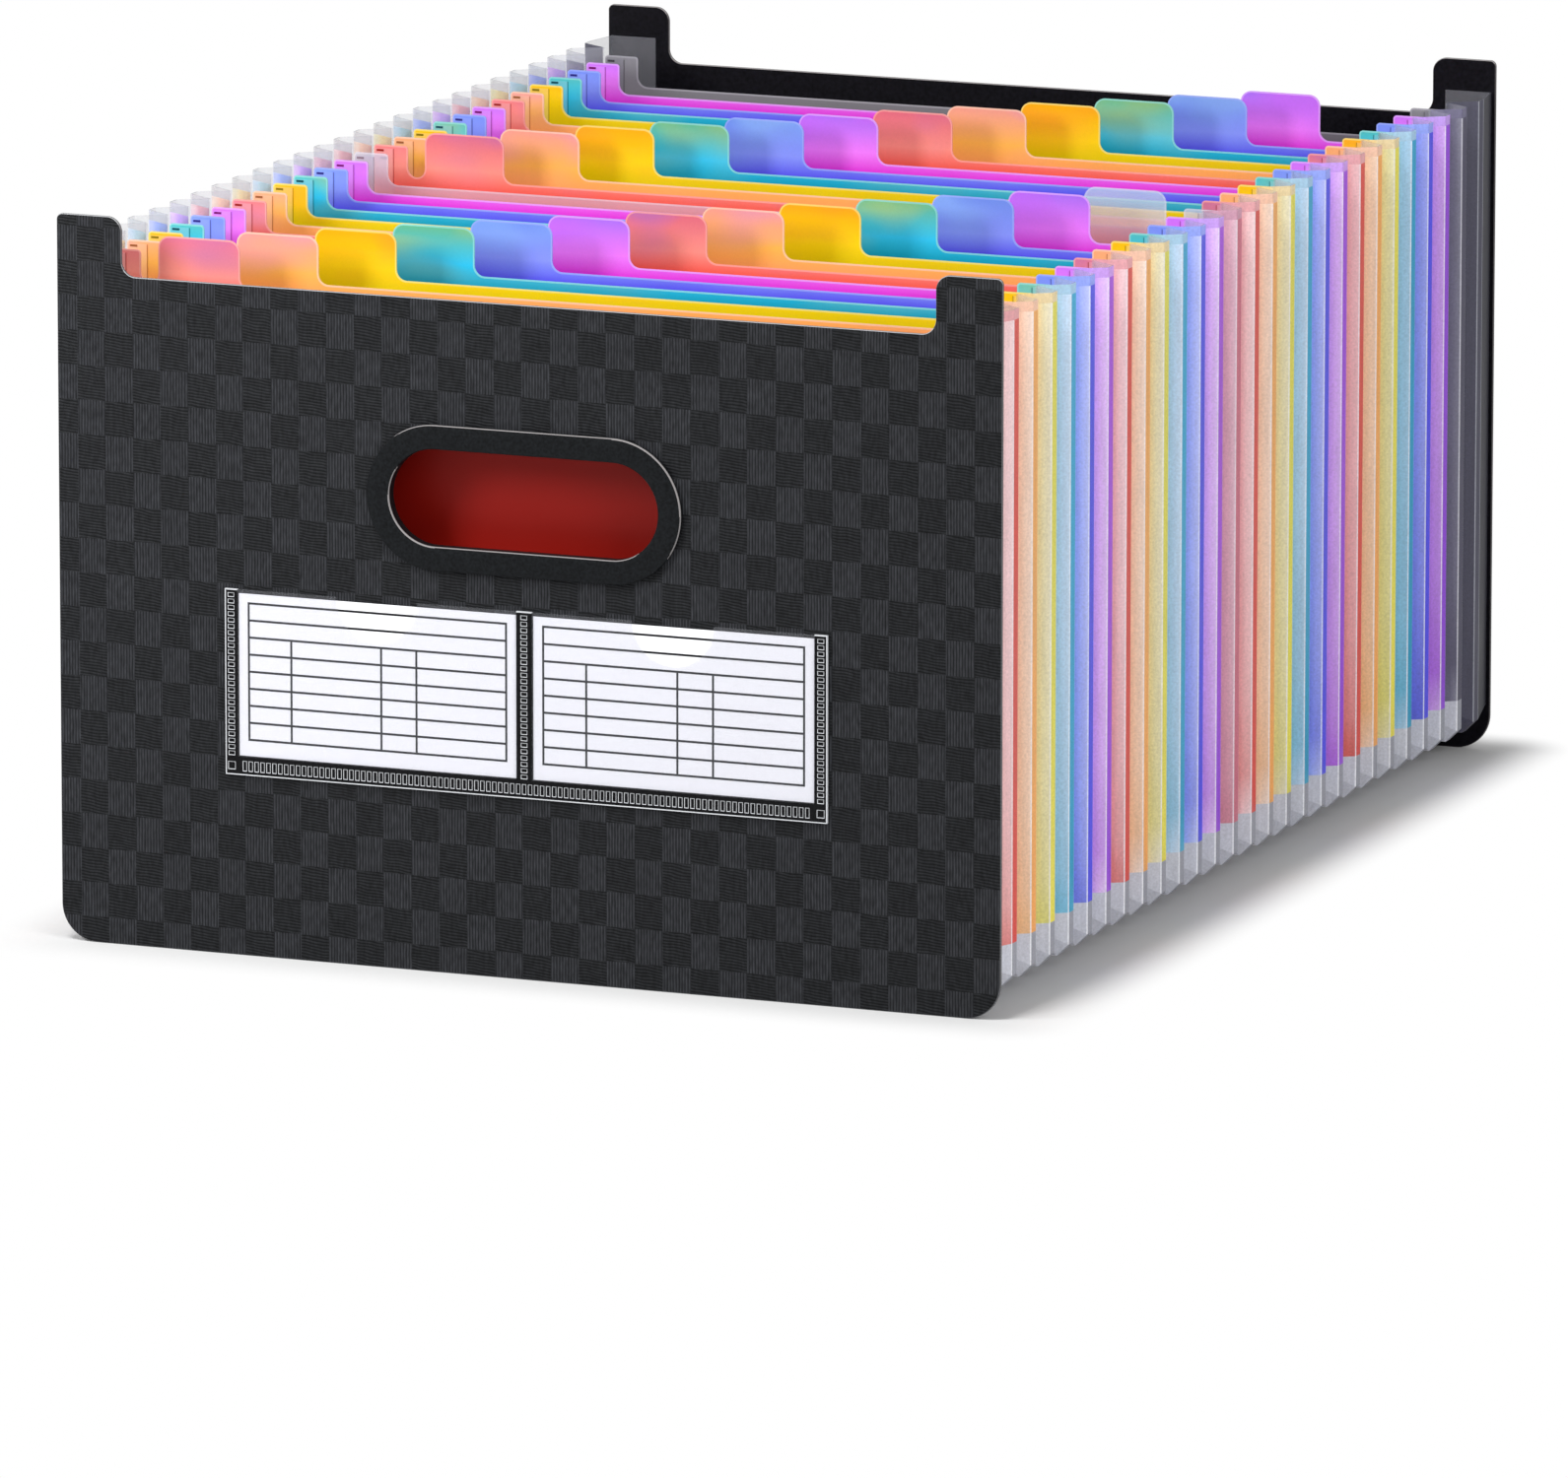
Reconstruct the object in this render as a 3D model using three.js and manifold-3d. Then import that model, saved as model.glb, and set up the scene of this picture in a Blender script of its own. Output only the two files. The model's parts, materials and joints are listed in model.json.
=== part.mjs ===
// Accordion file organizer: two stiff covers joined by one pleated film, with coloured tabbed
// dividers standing in its valleys. Millimetres, +Z up, front towards -Y, origin on the floor
// under the centre of the whole file.

import * as THREE from 'three';
import { mergeVertices } from 'three/addons/utils/BufferGeometryUtils.js';
import Module from 'manifold-3d';

const wasm = await Module();
wasm.setup();

// Covers
const coverWidth = 330;
const coverHeight = 241.6;
const coverThickness = 1.2;
const coverBottomRadius = 12.5;
const earWidth = 22.9;
const earRise = 19.5;
const earOuterRadius = 2;
const earInnerRadius = 5;
const earBaseRadius = 5;

// Pockets
const pocketCount = 27;
const pocketPitch = 16.94;
const backPocketExtra = 8.7;

// Pleated film
const pleatDepth = 9.5;
const pleatProud = 1;
const pleatFlatWidth = 4.6;
const filmThickness = 0.58;
const filmDropFromEar = 11;
const filmBottomGap = 9.5;
const pleatCornerCut = 4.2;
const endPleatInset = 2.4;
const weldFlangeWidth = 16.6;
const weldFlangeThickness = 0.5;

// Dividers
const dividerThickness = 0.45;
const dividerDropFromEar = 24.2;
const dividerEarWidth = 12.4;
const dividerEarRise = 10.5;
const dividerEarRadius = 1.2;
const dividerEarBaseRadius = 3.6;
const tabWidth = 29;
const tabRise = 15.7;
const tabTopRadius = 4;
const tabBaseRadius = 3.5;
const tabEndGap = 6.3;

// Handle
const gripLength = 110;
const gripHeight = 48;
const gripRim = 8;
const gripProud = 1.6;
const gripEdgeRadius = 0.5;
const gripDrop = 84.5;
const sleeveWall = 1;
const ringRim = 6;
const ringThickness = 1;

// Label pocket and its cards
const labelPocketWidth = 211;
const labelPocketHeight = 61.6;
const labelPocketDrop = 119.7;
const labelFilmThickness = 0.3;
const sideWeldWidth = 4.4;
const middleWeldWidth = 5.4;
const bottomWeldHeight = 6.1;
const thumbCutRadius = 14.3;
const cardThickness = 0.3;
const cardHeight = 53.8;

// The air left between two pieces that touch on the real file
const clearance = 0.3;

// Colours of the pieces
const coverColour = 0x2b2c30;
const gripColour = 0x1f2024;
const filmColour = 0xd6d9e4;
const labelFilmColour = 0x8a8c92;
const cardColour = 0xf4f5f8;
const clearDividerColour = 0xc9d6ea;
const smokeDividerColour = 0x85858c;
const rainbow = [0xf25a50, 0xf5aa6e, 0xf2c414, 0x46b8aa, 0x5a66ee, 0xc84be6];

// A run of tabs steps across the file once: the rainbow twice, then one on the clear divider.
const tabPositions = 2 * rainbow.length + 1;

// Places that follow from the sizes above
const coverFrontY = -(2 * coverThickness + pocketCount * pocketPitch + backPocketExtra) / 2 +
  (gripProud + clearance) / 2;
const insideFrontY = coverFrontY + coverThickness;
const insideBackY = insideFrontY + pocketCount * pocketPitch + backPocketExtra;
const peakX = coverWidth / 2 + pleatProud;
const valleyX = peakX - pleatDepth;
const valleyZ = filmBottomGap + pleatDepth;
const filmTopZ = coverHeight - filmDropFromEar;
const slitLength = gripLength - 2 * gripRim;
const slitHeight = gripHeight - 2 * gripRim;
const coverHoleLength = slitLength + 2 * (sleeveWall + clearance);
const coverHoleHeight = slitHeight + 2 * (sleeveWall + clearance);
const gripCentreZ = coverHeight - gripDrop;
const labelBackY = coverFrontY - clearance;
const labelPocketDepth = cardThickness + clearance + labelFilmThickness;
const cardWidth = (labelPocketWidth - 2 * sideWeldWidth - middleWeldWidth) / 2 - 2 * clearance;

// Closed outline whose corners are [x, z, radius], listed anticlockwise
function roundedOutline(corners, path = new THREE.Shape()) {
  corners.forEach(([x, z, radius], index) => {
    const corner = new THREE.Vector2(x, z);
    const before = corners[(index + corners.length - 1) % corners.length];
    const after = corners[(index + 1) % corners.length];
    const toBefore = new THREE.Vector2(before[0] - x, before[1] - z).normalize();
    const toAfter = new THREE.Vector2(after[0] - x, after[1] - z).normalize();
    const halfAngle = Math.acos(THREE.MathUtils.clamp(toBefore.dot(toAfter), -1, 1)) / 2;
    const reach = radius / Math.tan(halfAngle);
    const start = corner.clone().addScaledVector(toBefore, reach);
    if (index === 0) path.moveTo(start.x, start.y);
    else path.lineTo(start.x, start.y);
    if (radius > 0) {
      const end = corner.clone().addScaledVector(toAfter, reach);
      const inward = toBefore.clone().add(toAfter).normalize();
      const centre = corner.clone().addScaledVector(inward, radius / Math.sin(halfAngle));
      const startAngle = Math.atan2(start.y - centre.y, start.x - centre.x);
      const endAngle = Math.atan2(end.y - centre.y, end.x - centre.x);
      const clockwise = toBefore.cross(toAfter) > 0;
      path.absarc(centre.x, centre.y, radius, startAngle, endAngle, clockwise);
    }
  });
  path.closePath();
  return path;
}

// Outline with two straight sides and two half-round ends
function stadium(length, height, centreZ, path = new THREE.Shape()) {
  const radius = height / 2;
  const straight = length / 2 - radius;
  path.moveTo(-straight, centreZ - radius);
  path.lineTo(straight, centreZ - radius);
  path.absarc(straight, centreZ, radius, -Math.PI / 2, Math.PI / 2, false);
  path.lineTo(-straight, centreZ + radius);
  path.absarc(-straight, centreZ, radius, Math.PI / 2, 1.5 * Math.PI, false);
  path.closePath();
  return path;
}

// Upright plate of an outline in X and Z, from y = 0 to y = thickness
function plate(shape, thickness, curveSegments = 5, bevel = 0) {
  const geometry = new THREE.ExtrudeGeometry(shape, {
    depth: thickness - 2 * bevel,
    curveSegments,
    bevelEnabled: bevel > 0,
    bevelThickness: bevel,
    bevelSize: bevel,
    bevelOffset: -bevel,
    bevelSegments: 2,
  });
  geometry.rotateX(Math.PI / 2);
  geometry.translate(0, thickness - bevel, 0);
  return geometry;
}

function toSolid(geometry) {
  const bare = geometry.clone();
  bare.deleteAttribute('normal');
  bare.deleteAttribute('uv');
  const merged = mergeVertices(bare);
  return new wasm.Manifold(new wasm.Mesh({
    numProp: 3,
    vertProperties: merged.attributes.position.array,
    triVerts: merged.index.array,
  }));
}

function join(geometries) {
  const mesh = geometries.map(toSolid).reduce((sum, next) => sum.add(next)).getMesh();
  const geometry = new THREE.BufferGeometry();
  geometry.setAttribute('position', new THREE.BufferAttribute(mesh.vertProperties, 3));
  geometry.setIndex(new THREE.BufferAttribute(mesh.triVerts, 1));
  geometry.computeVertexNormals();
  return geometry;
}

function piece(name, geometry, look, y) {
  const mesh = new THREE.Mesh(geometry, new THREE.MeshStandardMaterial({ metalness: 0, ...look }));
  mesh.name = name;
  mesh.position.y = y;
  return mesh;
}

function coverOutline() {
  const side = coverWidth / 2;
  const earInside = side - earWidth;
  const topEdge = coverHeight - earRise;
  return roundedOutline([
    [-side, 0, coverBottomRadius],
    [side, 0, coverBottomRadius],
    [side, coverHeight, earOuterRadius],
    [earInside, coverHeight, earInnerRadius],
    [earInside, topEdge, earBaseRadius],
    [-earInside, topEdge, earBaseRadius],
    [-earInside, coverHeight, earInnerRadius],
    [-side, coverHeight, earOuterRadius],
  ]);
}

function makeCovers() {
  const look = { color: coverColour, roughness: 0.55 };
  const front = coverOutline();
  front.holes.push(stadium(coverHoleLength, coverHoleHeight, gripCentreZ, new THREE.Path()));
  return [
    piece('front_cover', plate(front, coverThickness, 8), look, coverFrontY),
    piece('back_cover', plate(coverOutline(), coverThickness, 8), look, insideBackY),
  ];
}

// The grip is a rim on the cover's front with a sleeve through its hole; the ring holds it behind.
function makeHandle() {
  const look = { color: gripColour, roughness: 0.5 };
  const rim = stadium(gripLength, gripHeight, gripCentreZ);
  rim.holes.push(stadium(slitLength, slitHeight, gripCentreZ, new THREE.Path()));
  const sleeveLength = 2 * clearance + coverThickness + ringThickness;
  const sleeve = stadium(slitLength + 2 * sleeveWall, slitHeight + 2 * sleeveWall, gripCentreZ);
  sleeve.holes.push(stadium(slitLength, slitHeight, gripCentreZ, new THREE.Path()));
  const rimGeometry = plate(rim, gripProud, 10, gripEdgeRadius);
  const rootDepth = gripProud / 2;
  const sleeveGeometry = plate(sleeve, rootDepth + sleeveLength, 10);
  sleeveGeometry.translate(0, gripProud - rootDepth, 0);

  const ring = stadium(coverHoleLength + 2 * ringRim, coverHoleHeight + 2 * ringRim, gripCentreZ);
  ring.holes.push(stadium(coverHoleLength, coverHoleHeight, gripCentreZ, new THREE.Path()));
  return [
    piece('handle_grip', join([rimGeometry, sleeveGeometry]), look,
      coverFrontY - clearance - gripProud),
    piece('handle_ring', plate(ring, ringThickness, 10), look, insideFrontY + clearance),
  ];
}

// Clear film in front of the cards, with its welded bands reaching back to the cover
function makeLabelPocket() {
  const top = coverHeight - labelPocketDrop;
  const bottom = top - labelPocketHeight;
  const side = labelPocketWidth / 2;
  const middle = middleWeldWidth / 2;
  const cardCentre = (side - sideWeldWidth + middle) / 2;

  const film = new THREE.Shape();
  film.moveTo(-side, bottom);
  film.lineTo(side, bottom);
  film.lineTo(side, top);
  for (const centre of [cardCentre, -cardCentre]) {
    film.lineTo(centre + thumbCutRadius, top);
    film.absarc(centre, top, thumbCutRadius, 0, Math.PI, true);
  }
  film.lineTo(-side, top);
  film.closePath();

  const bandTop = bottom + bottomWeldHeight;
  const bands = roundedOutline([
    [-side, bottom, 0], [side, bottom, 0], [side, top, 0], [side - sideWeldWidth, top, 0],
    [side - sideWeldWidth, bandTop, 0], [middle, bandTop, 0], [middle, top, 0],
    [-middle, top, 0], [-middle, bandTop, 0], [sideWeldWidth - side, bandTop, 0],
    [sideWeldWidth - side, top, 0], [-side, top, 0],
  ]);
  const pocket = join([plate(film, labelFilmThickness, 12), plate(bands, labelPocketDepth)]);
  const pieces = [
    piece('label_pocket', pocket, { color: labelFilmColour, roughness: 0.3 },
      labelBackY - labelPocketDepth),
  ];

  const cardBottom = bandTop + clearance;
  for (const [name, direction] of [['label_card_left', -1], ['label_card_right', 1]]) {
    const card = roundedOutline([
      [direction * cardCentre - cardWidth / 2, cardBottom, 0],
      [direction * cardCentre + cardWidth / 2, cardBottom, 0],
      [direction * cardCentre + cardWidth / 2, cardBottom + cardHeight, 0],
      [direction * cardCentre - cardWidth / 2, cardBottom + cardHeight, 0],
    ]);
    pieces.push(piece(name, plate(card, cardThickness), { color: cardColour, roughness: 0.8 },
      labelBackY - cardThickness));
  }
  return pieces;
}

// One U-shaped line of the film, from its top at +X, round the bottom, to its top at -X. The
// swell is how far it lies outside the valley line, and the inset moves it inside the film. The
// corners of the pleats are cut off at 45 degrees, and those of the valleys are square.
function filmLine(swell, inset) {
  const sideX = valleyX + swell - inset;
  const bottomZ = valleyZ - swell + inset;
  const cut = swell > 0 ? Math.max(pleatCornerCut - inset * (2 - Math.SQRT2), 0) : 0;
  const half = [[sideX, filmTopZ], [sideX, bottomZ + cut], [sideX - cut, bottomZ]];
  return [...half, ...half.map(([x, z]) => [-x, z]).reverse()];
}

// The film's folds in order, each with its place in Y and its swell: sharp valleys at the
// dividers, and between them a narrow flat outside two creases
function filmFolds() {
  const folds = [];
  for (let pocket = 0; pocket < pocketCount; pocket++) {
    const middle = (pocket + 0.5) * pocketPitch;
    if (pocket > 0) folds.push([pocket * pocketPitch, 0]);
    folds.push([middle - pleatFlatWidth / 2, pleatDepth], [middle + pleatFlatWidth / 2, pleatDepth]);
  }
  const endSwell = pleatDepth - endPleatInset;
  const lastY = insideBackY - insideFrontY - clearance - weldFlangeThickness / 2;
  return [[clearance + weldFlangeThickness / 2, endSwell], ...folds, [lastY, endSwell]];
}

function pleatedWall() {
  const positions = [];
  const folds = filmFolds();
  const rings = folds.map(([y, swell]) => {
    const outer = filmLine(swell, 0).map(([x, z]) => new THREE.Vector3(x, y, z));
    const inner = filmLine(swell, filmThickness).map(([x, z]) => new THREE.Vector3(x, y, z));
    return [...outer, ...inner.reverse()];
  });
  const addTriangle = (a, b, c) => {
    if (a.equals(b) || b.equals(c) || c.equals(a)) return;
    positions.push(...a, ...c, ...b);
  };
  const count = rings[0].length;
  for (let ring = 0; ring + 1 < rings.length; ring++) {
    for (let index = 0; index < count; index++) {
      const next = (index + 1) % count;
      const [near, far] = [rings[ring], rings[ring + 1]];
      // The diagonal starts on the outer crease, so that a folded corner stays one flat triangle.
      if (folds[ring][1] > folds[ring + 1][1]) {
        addTriangle(near[index], far[index], near[next]);
        addTriangle(near[next], far[index], far[next]);
      } else {
        addTriangle(near[index], far[index], far[next]);
        addTriangle(near[index], far[next], near[next]);
      }
    }
  }
  const ends = [[rings[0], false], [rings[rings.length - 1], true]];
  for (const [ring, flip] of ends) {
    for (let index = 0; index + 1 < count / 2; index++) {
      const quad = [ring[index], ring[index + 1], ring[count - 2 - index], ring[count - 1 - index]];
      if (flip) quad.reverse();
      addTriangle(quad[0], quad[1], quad[2]);
      addTriangle(quad[0], quad[2], quad[3]);
    }
  }
  const geometry = new THREE.BufferGeometry();
  geometry.setAttribute('position', new THREE.Float32BufferAttribute(positions, 3));
  return geometry;
}

// Flat end of the film that is welded to the inside of a cover
function weldFlange() {
  const endSwell = pleatDepth - endPleatInset;
  const outer = filmLine(endSwell, 0);
  const inner = filmLine(endSwell, weldFlangeWidth);
  const line = [...outer, ...inner.reverse()].map(([x, z]) => [x, z, 0]);
  const corners = line.filter(([x, z], index) => index === 0 ||
    x !== line[index - 1][0] || z !== line[index - 1][1]);
  return plate(roundedOutline(corners.reverse()), weldFlangeThickness);
}

function makeFilm() {
  const front = weldFlange().translate(0, clearance, 0);
  const backY = insideBackY - insideFrontY - clearance - weldFlangeThickness;
  const back = weldFlange().translate(0, backY, 0);
  const film = join([pleatedWall(), front, back]);
  return piece('pleated_film', film, { color: filmColour, roughness: 0.45 }, insideFrontY);
}

function dividerOutline(tabPosition) {
  const side = valleyX - filmThickness - clearance;
  const bottom = valleyZ + filmThickness + clearance;
  const edge = coverHeight - dividerDropFromEar;
  const earTop = edge + dividerEarRise;
  const earInside = side - dividerEarWidth;
  const ends = (rightBaseRadius, leftBaseRadius, tab) => roundedOutline([
    [-side, bottom, 0],
    [side, bottom, 0],
    [side, earTop, dividerEarRadius],
    [earInside, earTop, dividerEarRadius],
    [earInside, edge, rightBaseRadius],
    ...tab,
    [-earInside, edge, leftBaseRadius],
    [-earInside, earTop, dividerEarRadius],
    [-side, earTop, dividerEarRadius],
  ]);
  if (tabPosition === null) return ends(dividerEarBaseRadius, dividerEarBaseRadius, []);

  // A tab next to an ear shares the room between them for the fillets at their roots.
  const tabPitch = (2 * (earInside - tabEndGap) - tabWidth) / (tabPositions - 1);
  const left = tabEndGap - earInside + tabPosition * tabPitch;
  const right = left + tabWidth;
  const rightRoom = (earInside - right) / 2;
  const leftRoom = (left + earInside) / 2;
  const tab = [
    [right, edge, Math.min(tabBaseRadius, rightRoom)],
    [right, edge + tabRise, tabTopRadius],
    [left, edge + tabRise, tabTopRadius],
    [left, edge, Math.min(tabBaseRadius, leftRoom)],
  ];
  return ends(
    Math.min(dividerEarBaseRadius, rightRoom), Math.min(dividerEarBaseRadius, leftRoom), tab);
}

// Twelve tabs in rainbow order, then a clear divider, the same twelve again, and a smoke one
function dividerKind(number) {
  const place = (number - 1) % tabPositions;
  if (number === pocketCount - 1) return [smokeDividerColour, null];
  if (place === tabPositions - 1) return [clearDividerColour, place];
  return [rainbow[place % rainbow.length], place];
}

function makeDividers() {
  const dividers = [];
  for (let number = 1; number < pocketCount; number++) {
    const [color, tabPosition] = dividerKind(number);
    const geometry = plate(dividerOutline(tabPosition), dividerThickness, 4);
    const y = insideFrontY + number * pocketPitch - dividerThickness / 2;
    const name = `divider_${String(number).padStart(2, '0')}`;
    dividers.push(piece(name, geometry, { color, roughness: 0.4 }, y));
  }
  return dividers;
}

const organizer = new THREE.Group();
organizer.add(...makeCovers(), ...makeHandle(), ...makeLabelPocket(), makeFilm(), ...makeDividers());

export default organizer;
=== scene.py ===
"""Accordion file organizer: fine shapes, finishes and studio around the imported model."""

import json
import logging
import math
from dataclasses import dataclass
from enum import Enum
from functools import cache
from typing import Iterable, Protocol

import bmesh
import bpy
from bmesh.types import BMEdge, BMesh, BMFace, BMVert
from bpy.types import Material, Node, NodeOutputs, NodeSocket, NodeTree, Object
from mathutils import Matrix, Vector


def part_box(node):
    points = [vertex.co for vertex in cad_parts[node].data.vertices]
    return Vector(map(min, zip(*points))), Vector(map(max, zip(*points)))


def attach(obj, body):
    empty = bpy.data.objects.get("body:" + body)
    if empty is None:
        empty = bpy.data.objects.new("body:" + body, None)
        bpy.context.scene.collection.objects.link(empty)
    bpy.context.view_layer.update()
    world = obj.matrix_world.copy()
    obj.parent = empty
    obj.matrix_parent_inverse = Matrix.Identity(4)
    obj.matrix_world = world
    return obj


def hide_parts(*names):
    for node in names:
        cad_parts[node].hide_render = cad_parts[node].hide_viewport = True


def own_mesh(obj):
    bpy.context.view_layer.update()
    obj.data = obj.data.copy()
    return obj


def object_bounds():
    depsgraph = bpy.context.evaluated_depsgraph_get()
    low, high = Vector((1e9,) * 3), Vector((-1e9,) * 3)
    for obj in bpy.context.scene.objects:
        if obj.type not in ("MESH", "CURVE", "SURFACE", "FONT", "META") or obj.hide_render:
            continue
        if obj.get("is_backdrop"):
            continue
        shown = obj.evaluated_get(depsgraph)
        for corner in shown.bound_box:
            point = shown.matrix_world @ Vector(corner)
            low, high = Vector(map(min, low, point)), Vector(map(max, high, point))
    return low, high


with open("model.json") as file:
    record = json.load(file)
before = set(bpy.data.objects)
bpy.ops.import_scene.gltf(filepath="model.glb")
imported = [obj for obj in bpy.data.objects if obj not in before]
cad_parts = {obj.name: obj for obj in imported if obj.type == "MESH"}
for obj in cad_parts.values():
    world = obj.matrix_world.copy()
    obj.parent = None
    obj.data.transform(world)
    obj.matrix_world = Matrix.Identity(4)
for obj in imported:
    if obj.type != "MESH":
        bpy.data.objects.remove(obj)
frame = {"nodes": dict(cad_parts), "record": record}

MM = 0.001
TOUCH = 1e-6
NEAR = 1e-5
LOG = logging.getLogger("accordion_file")

Colour = tuple[float, float, float, float]
Range = tuple[float, float]
Socket = NodeSocket
Inputs = dict[str | int, object]


def linear(shown: int) -> Colour:
    """Turns a display colour, as 0xRRGGBB, into the linear colour that shaders read.

    Args:
        shown: The display colour.

    Returns:
        The linear colour with an alpha of 1.
    """
    def channel(share: float) -> float:
        """Linear value of one channel, from 0 to 1."""
        return share / 12.92 if share <= 0.04045 else ((share + 0.055) / 1.055) ** 2.4

    return *(channel(value / 255) for value in shown.to_bytes(3, "big")), 1.0


def tones(**shown: int) -> "Tones":
    """Makes tones from their display colours."""
    return Tones(**{name: linear(value) for name, value in shown.items()})


@dataclass(frozen=True)
class Tones:
    """Colours of one divider and of the film pleat in front of it.

    A divider is deep down in the file, sheet just under the top edges, glow and tab on its tab from root to
    top, hint where a neighbour shows through, and rim along its cut edge. The deep colour is painted shade
    that darkens the divider downwards and also colours its weld marks, the glow is painted light shining
    through the tab, and the rim is a painted highlight. The film is root in its valleys, pale towards its
    creases and band on its outer flats, where it turns to accent low down and in the back half.
    """

    deep: Colour
    sheet: Colour
    glow: Colour
    tab: Colour
    hint: Colour
    rim: Colour
    root: Colour
    pale: Colour
    band: Colour
    accent: Colour


class Hue(Enum):
    """The sheet plastics that the dividers are cut from, by their material slot."""

    RED = "divider_red"
    PEACH = "divider_peach"
    YELLOW = "divider_yellow"
    TEAL = "divider_teal"
    BLUE = "divider_blue"
    PURPLE = "divider_purple"
    CLEAR = "divider_clear"
    SMOKE = "divider_smoke"

    @property
    def tones(self) -> Tones:
        """Colours of this sheet plastic."""
        return TONES[self]


TONES: dict[Hue, Tones] = {
    Hue.RED: tones(
        deep=0xA0160C, sheet=0xF65446, glow=0xFF9A8C, tab=0xE67082, hint=0xBE76BA,
        rim=0xFFB6AA, root=0xECA0A8, pale=0xF6D0D2, band=0xD85C54, accent=0xE24238),
    Hue.PEACH: tones(
        deep=0xA06036, sheet=0xFEAA64, glow=0xFFC256, tab=0xF4A696, hint=0xECA0B6,
        rim=0xFFDCC2, root=0xFAC6A8, pale=0xF4DAC6, band=0xEAB06C, accent=0xFFAC54),
    Hue.YELLOW: tones(
        deep=0x8C7800, sheet=0xE0CA00, glow=0xFEDE02, tab=0xFAB404, hint=0xFF9E30,
        rim=0xF4EC8C, root=0xF4D894, pale=0xE8E0BA, band=0xDAD65C, accent=0xFAEC46),
    Hue.TEAL: tones(
        deep=0x004E5E, sheet=0x009CBE, glow=0x32CEFA, tab=0x68C096, hint=0xB4CE6C,
        rim=0x9EE6E6, root=0xA4D0E6, pale=0xBED8F2, band=0x52B2D6, accent=0x00A0C8),
    Hue.BLUE: tones(
        deep=0x2C2682, sheet=0x5448F0, glow=0x909EFF, tab=0x7496F0, hint=0x92B8F8,
        rim=0xA8B8FF, root=0x86A4FC, pale=0xB2C0FF, band=0x5A64E0, accent=0x4646F0),
    Hue.PURPLE: tones(
        deep=0x7E006E, sheet=0xEC14D6, glow=0xFF86FF, tab=0xB274F6, hint=0xD46EF6,
        rim=0xEEB8FF, root=0xCE9AFC, pale=0xEAC0FC, band=0xB062DE, accent=0x963EE4),
    Hue.CLEAR: tones(
        deep=0x967886, sheet=0xD8AAB6, glow=0xD0CEDE, tab=0xC8DCEC, hint=0xDED6E2,
        rim=0xECF0FA, root=0xD094AC, pale=0xE0B0BE, band=0xCE7A8A, accent=0xCE687E),
    Hue.SMOKE: tones(
        deep=0x46464A, sheet=0x808083, glow=0x8C8C90, tab=0x96969A, hint=0xA0A0A6,
        rim=0xBABAC0, root=0x625C7E, pale=0x828196, band=0x5C5A6E, accent=0x4E4C60),
}

WHITE = (1.0, 1.0, 1.0, 1.0)
WHITE_FILM = linear(0xCCCED8)
# Painted shade for the grey outer flats of the pleats low down, also used as a painted highlight on the
# creases of the last, dark pleat.
GREY_FILM_SHADE_AND_HIGHLIGHT = linear(0x9EA0AA)
# Painted highlight for the outer creases of the pleats.
CREASE_HIGHLIGHT = linear(0xF6F7FC)
INNER_FILM = linear(0xBCBFC8)
CLEAR_EDGE = linear(0x8C8E98)
DARK_PLEAT = linear(0x4E4D5E)
DARK_WALL = linear(0x3C3C44)
FLANGE_FILM = linear(0x96969E)


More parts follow.
